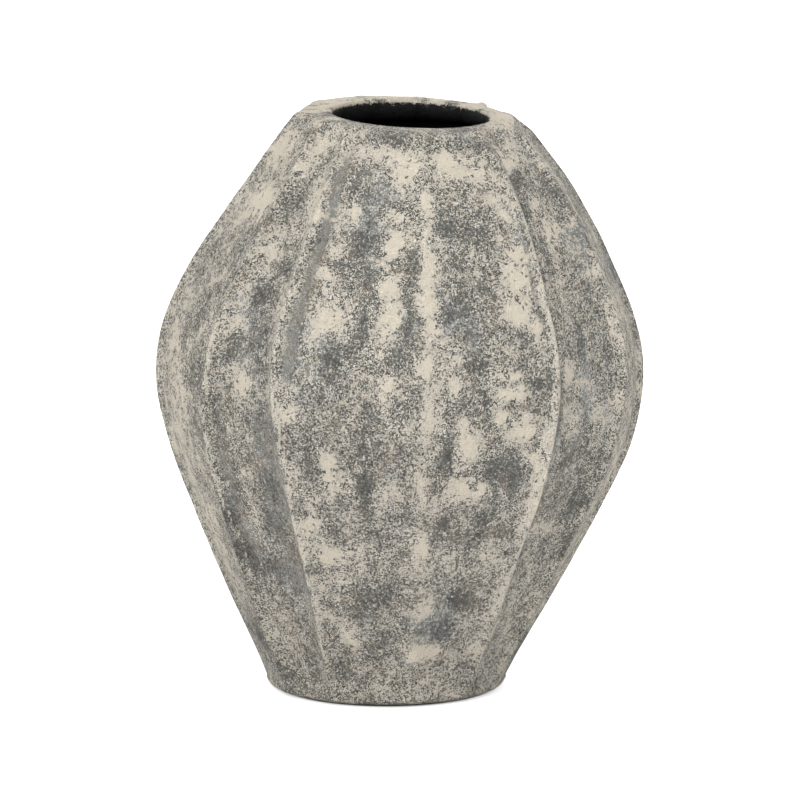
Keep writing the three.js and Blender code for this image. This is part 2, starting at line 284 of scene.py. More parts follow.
def through(points, x):
    """Height of a smooth curve through points whose first value rises."""
    p = np.asarray(points, float)
    x = np.asarray(x, float)
    last = len(p) - 1
    before = np.maximum(np.arange(len(p)) - 1, 0)
    after = np.minimum(np.arange(len(p)) + 1, last)
    slope = (p[after, 1] - p[before, 1]) / (p[after, 0] - p[before, 0])
    i = np.clip(np.searchsorted(p[:, 0], x) - 1, 0, last - 1)
    width = p[i + 1, 0] - p[i, 0]
    t = np.clip((x - p[i, 0]) / width, 0, 1)
    start, end = slope[i] * width, slope[i + 1] * width
    y0, y1 = p[i, 1], p[i + 1, 1]
    bend = 3 * (y1 - y0) - 2 * start - end
    return y0 + t * (start + t * (bend + t * (2 * (y0 - y1) + start + end)))


def smooth(x):
    """Goes from 0 to 1 with x, and starts and ends level."""
    x = np.clip(x, 0, 1)
    return x * x * (3 - 2 * x)


def body_radius(z):
    return through(BODY_OUTLINE, z)


def body_slope(z):
    half = SLOPE_SPAN / 2
    return (body_radius(z + half) - body_radius(z - half)) / SLOPE_SPAN


def inside_radius(z):
    return body_radius(z) - WALL_THICKNESS * np.hypot(1, body_slope(z))


def pressed(profile):
    """Presses a turned blank as the clay was pressed.

    profile has a row for each ring of the blank: radius, height, share of the skin's relief, the
    direction in which the surface faces (out and up), and how far it is lip and inside.
    """
    columns = (c[:, None] for c in np.asarray(profile, float).T)
    radius, z, relief, facing_out, facing_up, lip, inside = columns

    # Each column of points keeps its place between two ridges and wanders with them.
    bearings = np.array(
        [through(list(zip(RIDGE_LEVELS, ridge)), z[:, 0] / RIM_HEIGHT) for ridge in RIDGES]
    )
    bearings = np.vstack([bearings, bearings[:1] + 360]).T
    place = np.arange(COLUMNS) / COLUMNS_PER_LOBE
    lobe = place.astype(int)
    even = place - lobe
    across = even - CROWDING * np.sin(2 * np.pi * even)
    start, end = bearings[:, lobe], bearings[:, lobe + 1]
    bearing = np.radians(start + (end - start) * across)

    # The panels sink in between the ridges, a wide one deeper than a narrow one.
    lobe_width = np.radians(end - start) * body_radius(z)
    from_ridge = lobe_width * np.minimum(across, 1 - across)
    nearest = np.where(across < 0.5, lobe, (lobe + 1) % LOBES)
    hollow = np.array(PANELS)[lobe] * (1 - np.abs(2 * across - 1) ** PANEL_FLATNESS)
    bead = 1 - np.array(BEADS)[nearest] * np.exp(-((from_ridge / BEAD_WIDTH) ** 2))
    at_lip = LIP_SHARE + (1 - LIP_SHARE) * smooth((RIM_HEIGHT - z) / LIP_FADE)
    at_foot = FOOT_SHARE + (1 - FOOT_SHARE) * smooth((z - FOOT_BOTTOM) / FOOT_FADE)
    sunken = PANEL_DEPTH * (lobe_width / PANEL_WIDTH) * hollow + BEAD_HEIGHT * bead
    dip = at_lip * at_foot * sunken

    # The inside of the wall follows in part, and the mouth stays as round as it was turned.
    raised = np.clip((z - LIP_JOINT) / LIP_HEIGHT, 0, 1)
    depth = np.clip((body_radius(z) - radius) / (body_radius(z) - inside_radius(z)), 0, 1)
    share = 1 + (INSIDE_SHARE * (1 - raised) - 1) * depth

    def beside(middle):
        """Millimetres to the right of a bearing, along the surface."""
        return np.radians((np.degrees(bearing) - middle + 180) % 360 - 180) * body_radius(z)

    # Light strokes are lime with a painted highlight along a bead; dark strokes are painted shade
    # in a crease.
    strokes_highlight_and_shade, stands = 0 * bearing, 0 * bearing
    for ridge, right_below, right_above, width, lowest, highest, out, light in CREASES:
        path = right_below + (right_above - right_below) * (z - lowest) / (highest - lowest)
        for reach, length, turn in CREASE_WANDER:
            path = path + reach * np.sin(z / length + turn * ridge)
        change, length, turn = CREASE_PRESSURE
        near = np.exp(-(((beside(bearings[:, [ridge]]) - path) / width) ** 2))
        near = near * (1 - change + change * np.sin(z / length + turn * ridge))
        near = near * smooth((z - lowest) / CREASE_FADE) * smooth((highest - z) / CREASE_FADE)
        strokes_highlight_and_shade += light * near
        stands += out * near * (1 - depth)

    wash = 0 * bearing
    for middle, height, width, length, strength in DABS:
        wash += strength * np.exp(-((beside(middle) / width) ** 2) - ((z - height) / length) ** 2)

    out = radius + stands - np.minimum(radius, share * dip)
    x, y = out * np.sin(bearing), -out * np.cos(bearing)
    aside = FOOT_SHIFT * through(LEAN, z / RIM_HEIGHT) + raised * depth * MOUTH_SHIFT
    points = np.stack([x + aside, y, z + raised * (stands - LIP_SLOPE * x)], -1)
    every = np.ones_like(bearing)
    facing = np.stack(
        [facing_out * np.sin(bearing), -facing_out * np.cos(bearing), facing_up * every], -1
    )
    return points, {
        "outwards": facing * (relief * every)[..., None],
        "strokes_highlight_and_shade": np.clip(strokes_highlight_and_shade, -1, 1),
        "ridge": np.exp(-((from_ridge / CREST_WIDTH) ** 2)),
        "wash": wash,
        "lip": lip * (1 - LIP_WEAR * smooth(np.cos(bearing))),
        "inside": inside * every,
    }


def clay_mesh(name, profile, poles, sharp_rows=()):
    """A closed mesh from a profile, with what pressed() knows of each point as attributes.

    With poles, its first and last row close to a point each. Without, the last row joins the
    first.
    """
    points, knows = pressed(profile)
    rows = len(points)
    index = np.arange(rows * COLUMNS).reshape(rows, COLUMNS)
    next_column = np.roll(index, -1, axis=1)
    if poles:
        lower, upper = slice(None, -1), slice(1, None)
    else:
        lower, upper = slice(None), np.r_[1:rows, 0]
    corners = [index[lower], next_column[lower], next_column[upper], index[upper]]
    faces = np.stack(corners, -1).reshape(-1, 4).tolist()
    flat = points.reshape(-1, 3)
    values = {key: value.reshape(rows * COLUMNS, -1) for key, value in knows.items()}
    if poles:
        # the cap of the last row is turned over, so that both face outwards
        for row, turn in ((0, 1), (rows - 1, -1)):
            pole = len(flat)
            flat = np.vstack([flat, points[row].mean(0)])
            for key, value in values.items():
                values[key] = np.vstack([value, value[index[row, :1]]])
            faces += [[a, pole, b][::turn] for a, b in zip(index[row], next_column[row])]

    mesh = bpy.data.meshes.new(name)
    mesh.from_pydata((flat * MM).tolist(), [], faces)
    for key, value in values.items():
        kind, field = ("FLOAT_VECTOR", "vector") if value.shape[1] == 3 else ("FLOAT", "value")
        attribute = mesh.attributes.new(key, kind, "POINT")
        attribute.data.foreach_set(field, value.astype(np.float32).ravel())
    mesh.shade_smooth()

    ends = np.empty(len(mesh.edges) * 2, int)
    mesh.edges.foreach_get("vertices", ends)
    rows_of_ends = ends.reshape(-1, 2) // COLUMNS
    sharp = np.zeros(len(mesh.edges), bool)
    for row in sharp_rows:
        sharp |= (rows_of_ends == row).all(1)
    mesh.attributes.new("sharp_edge", "BOOLEAN", "EDGE").data.foreach_set("value", sharp)
    return put_in_scene(name, mesh)


def put_in_scene(name, data):
    """Puts a mesh, a lamp or the camera into the scene under this name."""
    made = bpy.data.objects.new(name, data)
    bpy.context.collection.objects.link(made)
    return made


def levels(start, end, spacing):
    """Even steps from start to end, about this far apart."""
    return np.linspace(start, end, max(2, round(abs(end - start) / spacing) + 1))


def curve(start, pull, end, count):
    """Points of a quadratic curve, without its first point."""
    t = np.linspace(0, 1, count + 1)[1:, None]
    return (1 - t) ** 2 * np.array(start) + 2 * t * (1 - t) * np.array(pull) + t * t * np.array(end)


def outside_rows(start, end):
    rows = []
    for z in levels(start, end, OUTSIDE_ROW):
        slope = body_slope(z)
        steep = math.hypot(1, slope)
        rows.append((body_radius(z), z, 1, 1 / steep, -slope / steep, 0, 0))
    return rows


def wall():
    """The hollow wall, up its outside from the foot's joint and down its inside."""
    outer = outside_rows(FOOT_JOINT, LIP_JOINT)
    inner = [
        (inside_radius(z), z, 0, -1, 0, 0, 1) for z in levels(LIP_JOINT, FOOT_JOINT, INSIDE_ROW)
    ]
    last = len(outer) - 1
    ends = (0, last, last + 1, last + len(inner))
    return clay_mesh("limewashed_wall", outer + inner, False, ends)


def foot():
    """The slab of the foot: its underside, its rounded corner, its edge and the floor inside."""
    corner = FOOT_BOTTOM + FOOT_CORNER_RADIUS
    reach = body_radius(corner) - FOOT_CORNER_RADIUS
    under = [(r, FOOT_BOTTOM, 0, 0, -1, 0, 0) for r in levels(POLE_RADIUS, reach, FLOOR_ROW)]
    edge = []
    for angle in np.radians([-75, -60, -45, -30, -15]):
        out, up = math.cos(angle), math.sin(angle)
        r, z = reach + FOOT_CORNER_RADIUS * out, corner + FOOT_CORNER_RADIUS * up
        edge.append((r, z, FOOT_CORNER_RELIEF, out, up, 0, 0))
    outer = outside_rows(corner, FOOT_JOINT)
    floor = [
        (r, FOOT_JOINT, 0, 0, 1, 0, 1)
        for r in levels(inside_radius(FOOT_JOINT), POLE_RADIUS, FLOOR_ROW)
    ]
    joint = len(under) + len(edge) + len(outer) - 1
    return clay_mesh("limewashed_foot", under + edge + outer + floor, True, (joint,))


def sealed(z):
    """How well the black sealing coat covers the inside at a height: thinly close to the lip."""
    return sum(share * smooth((RIM_HEIGHT - z) / depth) for share, depth in SEALING)


def rim():
    """The coil on top: its outside and brow, the flat of the lip, the mouth's edge, the throat."""
    brow = RIM_HEIGHT - LIP_OUTER_EDGE
    outer_edge = LIP_OUTER_RADIUS - LIP_OUTER_EDGE
    mouth = LIP_OUTER_RADIUS - LIP_WIDTH
    inner_edge = mouth + LIP_INNER_EDGE
    rows = outside_rows(LIP_JOINT, brow)

    start = (body_radius(brow), brow)
    pull = (LIP_OUTER_RADIUS + LIP_BULGE, RIM_HEIGHT)
    for r, z in curve(start, pull, (outer_edge, RIM_HEIGHT), BROW_ROWS):
        rows.append((r, z, BROW_RELIEF, 0.6, 0.8, 1, 0))
    for r in levels(outer_edge - LIP_ROW, inner_edge, LIP_ROW):
        rows.append((r, RIM_HEIGHT, LIP_RELIEF, 0, 1, 1, 0))
    for angle in np.radians(np.linspace(100, 180, MOUTH_ROWS)):
        out, up = math.cos(angle), math.sin(angle)
        r, z = inner_edge + LIP_INNER_EDGE * out, RIM_HEIGHT + LIP_INNER_EDGE * (up - 1)
        rows.append((r, z, MOUTH_RELIEF, out, up, 1, sealed(z)))

    start = (mouth, RIM_HEIGHT - LIP_INNER_EDGE)
    pull = (mouth + LIP_BULGE, LIP_JOINT)
    for r, z in curve(start, pull, (inside_radius(LIP_JOINT), LIP_JOINT), THROAT_ROWS):
        rows.append((r, z, 0, -1, 0, 0, sealed(z)))
    return clay_mesh("limewashed_rim", rows, False, (0, len(rows) - 1))


def node(tree, kind, inputs=None, **settings):
    """Adds a node. An input is a value, or a socket that it is linked to."""
    made = tree.nodes.new(kind)
    for key, value in settings.items():
        setattr(made, key, value)
    for key, value in (inputs or {}).items():
        if isinstance(value, bpy.types.NodeSocket):
            tree.links.new(value, made.inputs[key])
        else:
            made.inputs[key].default_value = value
    return made


def linear(code):
    """An sRGB hex code as the linear colour that a shader takes."""
    parts = [int(code[i : i + 2], 16) / 255 for i in (1, 3, 5)]
    return [p / 12.92 if p <= 0.04045 else ((p + 0.055) / 1.055) ** 2.4 for p in parts] + [1]


def worked(piece, tree, inputs):
    """Runs a node tree on a piece and keeps its result as the piece's own plain mesh."""
    modifier = piece.modifiers.new(tree.name, "NODES")
    modifier.node_group = tree
    for item in tree.interface.items_tree:
        if item.in_out == "INPUT" and item.name in inputs:
            modifier[item.identifier] = inputs[item.name]
    evaluated = piece.evaluated_get(bpy.context.evaluated_depsgraph_get())
    mesh = bpy.data.meshes.new_from_object(evaluated)
    piece.modifiers.remove(modifier)
    mesh.name = piece.name
    piece.data = mesh


def new_tree(name, sizes):
    """A geometry tree with named number inputs, as {name: value}, and its two ends."""
    tree = bpy.data.node_groups.new(name, "GeometryNodeTree")
    ends = tree.interface
    ends.new_socket("Geometry", in_out="INPUT", socket_type="NodeSocketGeometry")
    for label, value in sizes.items():
        size = ends.new_socket(label, in_out="INPUT", socket_type="NodeSocketFloat")
        size.default_value = value
    ends.new_socket("Material", in_out="INPUT", socket_type="NodeSocketMaterial")
    ends.new_socket("Geometry", in_out="OUTPUT", socket_type="NodeSocketGeometry")
    return tree, node(tree, "NodeGroupInput"), node(tree, "NodeGroupOutput")


def hand_worked_clay():
    """Sinks the surface against its outwards attribute: broad dents, lumps and the clay's grain.

    Sizes and depths are millimetres.
    """
    tree, given, result = new_tree(
        "hand worked clay",
        {
            "Dent Size": 48, "Dent Depth": 1.0,
            "Lump Size": 11, "Lump Depth": 0.45,
            "Grain Size": 3.2, "Grain Depth": 0.2,
        },
    )
    here = node(tree, "GeometryNodeInputPosition").outputs[0]
    place = node(tree, "ShaderNodeVectorMath", {0: here, 3: 1 / MM}, operation="SCALE").outputs[0]
    # the hand drew the lumps out upwards, to nearly twice their width
    drawn = node(
        tree, "ShaderNodeVectorMath", {0: place, 1: (1, 1, 0.55)}, operation="MULTIPLY"
    ).outputs[0]
    depth = 0.0
    for label, vector in (("Dent", place), ("Lump", drawn), ("Grain", place)):
        scale = node(
            tree, "ShaderNodeMath", {0: 1.0, 1: given.outputs[label + " Size"]},
            operation="DIVIDE",
        )
        noise = node(
            tree, "ShaderNodeTexNoise",
            {"Vector": vector, "Scale": scale.outputs[0], "Detail": 2.0},
        )
        depth = node(
            tree, "ShaderNodeMath",
            {0: noise.outputs[0], 1: given.outputs[label + " Depth"], 2: depth},
            operation="MULTIPLY_ADD",
        ).outputs[0]
    inward = node(tree, "ShaderNodeMath", {0: depth, 1: -MM}, operation="MULTIPLY")
    outwards = node(
        tree, "GeometryNodeInputNamedAttribute", {"Name": "outwards"}, data_type="FLOAT_VECTOR"
    )
    move = node(
        tree, "ShaderNodeVectorMath", {0: outwards.outputs[0], 3: inward.outputs[0]},
        operation="SCALE",
    )
    moved = node(
        tree, "GeometryNodeSetPosition",
        {"Geometry": given.outputs["Geometry"], "Offset": move.outputs[0]},
    )
    real = node(tree, "GeometryNodeRealizeInstances", {"Geometry": moved.outputs[0]})
    dressed = node(
        tree, "GeometryNodeSetMaterial",
        {"Geometry": real.outputs[0], "Material": given.outputs["Material"]},
    )
    tree.links.new(dressed.outputs[0], result.inputs[0])
    return tree


def crumbs():
    """Crumbs of dried limewash on the panels, half sunk in the wall and a little squat.

    Density is for each square metre. A crumb's radius lies between Smallest and Largest, and it
    is 0.6 of that high.
    """
    tree, given, result = new_tree(
        "limewash crumbs", {"Density": 5200, "Smallest": 0.35 * MM, "Largest": 0.8 * MM}
    )
    ridge = node(
        tree, "GeometryNodeInputNamedAttribute", {"Name": "ridge"}, data_type="FLOAT"
    )
    inside = node(
        tree, "GeometryNodeInputNamedAttribute", {"Name": "inside"}, data_type="FLOAT"
    )
    both = node(
        tree, "ShaderNodeMath", {0: ridge.outputs[0], 1: inside.outputs[0]}, operation="ADD"
    )
    # none stuck on a crest, which the hand wiped, or inside
    free = node(
        tree, "FunctionNodeCompare", {0: both.outputs[0], 1: 0.02},
        data_type="FLOAT", operation="LESS_THAN",
    )
    spots = node(
        tree, "GeometryNodeDistributePointsOnFaces",
        {
            "Mesh": given.outputs["Geometry"],
            "Selection": free.outputs[0],
            "Density": given.outputs["Density"],
            "Seed": 7,
        },
    )
    size = node(
        tree, "FunctionNodeRandomValue",
        {2: given.outputs["Smallest"], 3: given.outputs["Largest"], "Seed": 3},
        data_type="FLOAT",
    ).outputs[1]
    height = node(tree, "ShaderNodeMath", {0: size, 1: 0.6}, operation="MULTIPLY")
    squat = node(tree, "ShaderNodeCombineXYZ", {0: size, 1: size, 2: height.outputs[0]})
    crumb = node(tree, "GeometryNodeMeshIcoSphere", {"Radius": 1.0, "Subdivisions": 1})
    placed = node(
        tree, "GeometryNodeInstanceOnPoints",
        {
            "Points": spots.outputs["Points"],
            "Instance": crumb.outputs[0],
            "Rotation": spots.outputs["Rotation"],
            "Scale": squat.outputs[0],
        },
    )
    real = node(tree, "GeometryNodeRealizeInstances", {"Geometry": placed.outputs[0]})
    dressed = node(
        tree, "GeometryNodeSetMaterial",
        {"Geometry": real.outputs[0], "Material": given.outputs["Material"]},
    )
    tree.links.new(dressed.outputs[0], result.inputs[0])
    return tree


# Fields of the clay's finish: noises by the spacing of their lumps in millimetres, with detail,
# roughness, distortion and how much a lump is drawn out upwards, as a hand wipes a pot. The real
# marks of the bristles, specks and grit are 0.2 to 0.5 mm across. That is finer than the picture
# shows, so streaks, speck and grit are drawn two or three times as coarse.
NOISES = {
    "patches": (24, 5, 0.85, 0.25, 1.15),
    "blotches": (9, 2, 0.6, 0.4, 1),
    "film": (34, 2, 0.5, 0.0, 2.2),
    "streaks": (1.6, 1, 0.6, 0.0, 9),
    "mottle": (4, 2, 0.7, 0.5, 1),
    "speck": (1.15, 1, 0.7, 0.3, 1),
    "grit": (0.7, 0, 0.5, 0.2, 1),
    "pits": (1.7, 1, 0.5, 0.6, 1),
    "hints": (14, 2, 0.6, 0.5, 1.5),
}

# Size in millimetres of the sand grains in the clay, each of which took the wash in its own way.
# Real ones are about 0.5 mm, and they are drawn coarser too.
GRAIN = 1.25

# How the limewash lies, as the weight of each field. The clay is half covered where the sum is
# 0, bare this spread below it and whole this spread above it. A noise runs from -1 to 1, and so
# does the height from table to rim.
LIMEWASH = {
    "patches": 1.0, "blotches": 0.55, "mottle": 0.65, "speck": 2.3, "grit": 2.9, "grains": 0.8,
    # The weight on height gives the lower pot a little more limewash: painted light against the
    # shade low down.
    "wash": 0.28, "strokes_highlight_and_shade": 0.3, "ridge": 0.05, "lip": 0.3, "height": -0.05,
}
LIMEWASH_SPREAD = 0.58

# From bare charcoal clay, through a grey first wash and lime dust, to whole cream limewash
TONES = [
    (0.0, "#4e4d49"), (0.18, "#60605b"), (0.32, "#7a7a75"), (0.44, "#97958d"),
    (0.54, "#b6b2a7"), (0.68, "#cec8bb"), (1.0, "#e0d9cc"),
]

# Weights of the thick limewash, for its patches and for the painted shadow round each
THICK = {
    "wash": 0.95, "patches": 1.3, "blotches": 1.2, "mottle": 2.1, "speck": 0.9, "grit": 0.3,
    "grains": 0.25,
}

# Coats over that, from the first one on to the last: colour, weights of the fields, the sum at
# which the coat starts, the sum at which it is whole, and how much it then hides
COATS = {
    # a bluish film where thin lime dried over the grey
    "blue film": (
        "#a8adae",
        {"film": 1.2, "blotches": 0.8, "strokes_highlight_and_shade": -0.9, "speck": 0.3, "grains": 0.15},
        0.05, 0.6, 0.45,
    ),
    # bare fired clay that shows brown
    "brown clay": (
        "#8a7a66",
        {
            "hints": 1.7, "mottle": 0.5, "speck": 0.4, "height": -0.1, "strokes_highlight_and_shade": -0.7,
            "patches": -0.5,
        },
        0.15, 0.65, 0.42,
    ),
    # a smooth grey wash that is left where the cream was rubbed away
    "grey wash": (
        "#747571",
        {
            "patches": -1.8, "blotches": -0.9, "mottle": -1.0, "wash": -0.6, "speck": 0.5,
            "grains": 0.2,
        },
        0.28, 0.42, 0.45,
    ),
    # painted shadow round the edge of each thick patch, where the layer stands up
    "painted edge shadow": ("#4a4945", THICK, 0.17, 0.25, 0.55),
    # thick cream limewash, left in crumbly patches
    "thick limewash": ("#d2cabb", THICK, 0.28, 0.33, 0.75),
    # dust and wear on all of it
    "dust": (
        "#aaa499", {"speck": 1.2, "grit": 1.0, "mottle": 0.6, "grains": 0.4}, 0.1, 0.5, 0.27,
    ),
    # crisp flecks of lime that stayed on the highest grains
    "lime flecks": (
        "#cbc4b7",
        {
            "speck": 1.3, "grit": 1.3, "grains": 0.4, "mottle": 0.5, "patches": 0.4, "wash": 0.2,
            "height": -0.12,
        },
        0.42, 0.49, 0.8,
    ),
    # painted shade: a smooth dark grey laid into the creases beside the ridges
    "painted crease shade": (
        "#7d7c76",
        {"strokes_highlight_and_shade": -1.0, "streaks": 0.5, "speck": 1.0, "mottle": 1.1, "patches": -0.8},
        0.38, 0.6, 0.6,
    ),
    # thin lime brushed along the beads, with the marks of the bristles, and a painted highlight
    # along their crests
    "bristle marks and crest highlight": (
        "#cfc8bb",
        {"strokes_highlight_and_shade": 1.4, "streaks": 1.6, "speck": 0.8, "mottle": 0.6, "patches": 0.6},
        0.5, 0.8, 0.75,
    ),
    # burnt grains in the pits of the skin
    "burnt grains": (
        "#424240",
        {
            "pits": 0.7, "speck": 0.8, "grit": 0.6, "mottle": 0.3, "wash": -0.35,
            "patches": -0.7,
        },
        0.34, 0.4, 0.85,
    ),
    # the lip, wiped smooth with a wet finger
    "smooth lip": (
        "#cdc3b2",
        {
            "lip": 0.85, "wash": 0.6, "patches": 1.6, "blotches": 0.5, "mottle": 0.6,
            "speck": 0.3,
        },
        0.45, 0.75, 0.8,
    ),
    # the black sealing coat, brushed on from inside and up to the lip
    "sealed inside": (
        "#0f0f0e", {"inside": 2.6, "mottle": 1.0, "streaks": 0.3, "speck": 1.3}, 0.75, 1.55, 1.0,
    ),
}

# How the coats and the grain stand up: weights of a relief that is at most this high
RELIEF = {
    "cover": 0.6, "thick limewash": 0.75, "speck": 0.5, "grit": 0.35, "mottle": 0.5,
    "burnt grains": -0.3,
}
RELIEF_HEIGHT = 0.6


def new_finish(name):
    """An empty material of this name, and its tree."""
    material = bpy.data.materials.new(name)
    material.use_nodes = True
    material.node_tree.nodes.clear()
    return material, material.node_tree


def limewashed_clay():
    """Low-fired clay, pressed by hand, brushed with limewash and rubbed back once it was dry.

    It gives a chalky, matt skin without gloss: crumbly cream patches that break up into grey
    speckle over charcoal clay. The sealing coat inside is smoother and black.
    """
    material, tree = new_finish("limewashed clay")
    here = node(tree, "ShaderNodeTexCoord").outputs["Object"]
    fields = {}
    for label, (size, detail, roughness, distortion, drawn) in NOISES.items():
        place = node(
            tree, "ShaderNodeVectorMath", {0: here, 1: (1 / MM, 1 / MM, 1 / MM / drawn)},
            operation="MULTIPLY",
        )
        noise = node(
            tree, "ShaderNodeTexNoise",
            {
                "Vector": place.outputs[0],
                "Scale": 1 / size,
                "Detail": detail,
                "Roughness": roughness,
                "Distortion": distortion,
            },
        )
        fields[label] = node(
            tree, "ShaderNodeMath", {0: noise.outputs[0], 1: 2.0, 2: -1.0},
            operation="MULTIPLY_ADD",
        ).outputs[0]
    sand = node(tree, "ShaderNodeTexVoronoi", {"Vector": here, "Scale": 1 / (GRAIN * MM)})
    fields["grains"] = node(
        tree, "ShaderNodeMath", {0: sand.outputs["Color"], 1: 2.0, 2: -1.0},
        operation="MULTIPLY_ADD",
    ).outputs[0]
    for label in ("strokes_highlight_and_shade", "ridge", "wash", "lip", "inside"):
        fields[label] = node(tree, "ShaderNodeAttribute", attribute_name=label).outputs["Fac"]
    up = node(tree, "ShaderNodeSeparateXYZ", {0: here}).outputs["Z"]
    fields["height"] = node(
        tree, "ShaderNodeMapRange", {"Value": up, "From Max": RIM_HEIGHT * MM, "To Min": -1.0}
    ).outputs[0]

    def weighed(weights):
        """Adds up fields by their weights."""
        total = 0.0
        for field, weight in weights.items():
            total = node(
                tree, "ShaderNodeMath", {0: fields[field], 1: weight, 2: total},
                operation="MULTIPLY_ADD",
            ).outputs[0]
        return total

    fields["cover"] = node(
        tree, "ShaderNodeMapRange",
        {
            "Value": weighed(LIMEWASH),
            "From Min": -LIMEWASH_SPREAD,
            "From Max": LIMEWASH_SPREAD,
        },
    ).outputs[0]
    tones = node(tree, "ShaderNodeValToRGB", {0: fields["cover"]})
    stops = tones.color_ramp.elements
    stops[0].color, stops[1].color = linear(TONES[0][1]), linear(TONES[-1][1])
    for place, code in TONES[1:-1]:
        stops.new(place).color = linear(code)
    colour = tones.outputs[0]
    for label, (code, weights, start, whole, most) in COATS.items():
        fields[label] = node(
            tree, "ShaderNodeMapRange",
            {"Value": weighed(weights), "From Min": start, "From Max": whole, "To Max": most},
            interpolation_type="SMOOTHSTEP",
        ).outputs[0]
        colour = node(
            tree, "ShaderNodeMix", {0: fields[label], 6: colour, 7: linear(code)},
            data_type="RGBA",
        ).outputs[2]

    bump = node(
        tree, "ShaderNodeBump",
        {"Height": weighed(RELIEF), "Distance": RELIEF_HEIGHT * MM, "Strength": 1.0},
    )
    # chalky lime, and the sealing coat with a dull sheen
    dullness = node(
        tree, "ShaderNodeMapRange",
        {"Value": fields["sealed inside"], "To Min": 0.93, "To Max": 0.6},
    )
    shader = node(
        tree, "ShaderNodeBsdfPrincipled",
        {
            "Base Color": colour,
            "Roughness": dullness.outputs[0],
            "Normal": bump.outputs[0],
            "IOR": 1.5,
            "Specular IOR Level": 0.25,
        },
    )
    node(tree, "ShaderNodeOutputMaterial", {"Surface": shader.outputs[0]})
    return material


def dried_limewash():
    """Crumbs of lime that dried on the brush and stuck: dull cream, grey where dust lies."""
    material, tree = new_finish("dried limewash")
    here = node(tree, "ShaderNodeTexCoord").outputs["Object"]
    dust_spacing = 6 * MM
    dust = node(
        tree, "ShaderNodeTexNoise", {"Vector": here, "Scale": 1 / dust_spacing, "Detail": 2.0}
    )
    clean = node(
        tree, "ShaderNodeMapRange", {"Value": dust.outputs[0], "From Min": 0.4, "From Max": 0.6}
    )
    colour = node(
        tree, "ShaderNodeMix",
        {0: clean.outputs[0], 6: linear("#8d8b84"), 7: linear("#d6cfc1")}, data_type="RGBA",
    )
    shader = node(
        tree, "ShaderNodeBsdfPrincipled",
        {"Base Color": colour.outputs[2], "Roughness": 0.95, "Specular IOR Level": 0.2},
    )
    node(tree, "ShaderNodeOutputMaterial", {"Surface": shader.outputs[0]})
    return material


def pressed_felt():
    """Wool felt, wetted and pressed: a dark, fibrous nap with no shine.

    Its fibres are far finer than the picture shows, so they are drawn in tufts of half a
    millimetre.
    """
    material, tree = new_finish("pressed felt")
    here = node(tree, "ShaderNodeTexCoord").outputs["Object"]
    tuft, worn_place = 0.5 * MM, 7 * MM
    fibres = node(
        tree, "ShaderNodeTexNoise",
        {"Vector": here, "Scale": 1 / tuft, "Detail": 3.0, "Roughness": 0.7, "Distortion": 2.0},
    )
    worn = node(
        tree, "ShaderNodeTexNoise", {"Vector": here, "Scale": 1 / worn_place, "Detail": 2.0}
    )
    both = node(
        tree, "ShaderNodeMath", {0: fibres.outputs[0], 1: worn.outputs[0]}, operation="MULTIPLY"
    )
    light = node(
        tree, "ShaderNodeMapRange", {"Value": both.outputs[0], "From Min": 0.15, "From Max": 0.35}
    )
    colour = node(
        tree, "ShaderNodeMix",
        {0: light.outputs[0], 6: linear("#2c2a28"), 7: linear("#55514b")}, data_type="RGBA",
    )
    bump = node(tree, "ShaderNodeBump", {"Height": fibres.outputs[0], "Distance": 0.2 * MM})
    shader = node(
        tree, "ShaderNodeBsdfPrincipled",
        {
            "Base Color": colour.outputs[2],
            "Roughness": 1.0,
            "Sheen Weight": 0.3,
            "Sheen Roughness": 0.6,
            "Normal": bump.outputs[0],
            "Specular IOR Level": 0.1,
        },
    )
    node(tree, "ShaderNodeOutputMaterial", {"Surface": shader.outputs[0]})
    return material


# Edge of a felt pad from below to above, as (share of its radius, share of its thickness)
PAD_SECTION = [
    (0.5, 0), (0.8, 0), (0.93, 0.03), (0.985, 0.16), (0.992, 0.5), (0.985, 0.84), (0.93, 0.97),
    (0.8, 1), (0.5, 1),
]
PAD_SIDES = 64


def felt_pad(cad_name, material):
    """A felt disc whose edge the cutter left soft and round."""
    low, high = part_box(cad_name)
    middle = (low + high) / 2
    radius, thickness = (high.x - low.x) / 2, high.z - low.z
    turn = np.radians(np.linspace(0, 360, PAD_SIDES, endpoint=False))
    points = [
        (
            middle.x + out * radius * math.cos(angle),
            middle.y + out * radius * math.sin(angle),
            low.z + up * thickness,
        )
        for out, up in PAD_SECTION
        for angle in turn
    ]
    points += [(middle.x, middle.y, low.z), (middle.x, middle.y, high.z)]
    below, above = len(points) - 2, len(points) - 1
    last = len(PAD_SECTION) - 1
    faces = []
    for column in range(PAD_SIDES):
        beside = (column + 1) % PAD_SIDES
        for row in range(last):
            here, next_row = row * PAD_SIDES, (row + 1) * PAD_SIDES
            faces.append([here + column, here + beside, next_row + beside, next_row + column])
        faces.append([below, beside, column])
        faces.append([last * PAD_SIDES + column, last * PAD_SIDES + beside, above])
    mesh = bpy.data.meshes.new(cad_name + "_pressed")
    mesh.from_pydata(points, [], faces)
    mesh.shade_smooth()
    mesh.materials.append(material)
    return put_in_scene(cad_name + "_pressed", mesh)


clay = limewashed_clay()
press = hand_worked_clay()
pieces = {"lobed_wall": wall(), "foot_slab": foot(), "rim_coil": rim()}

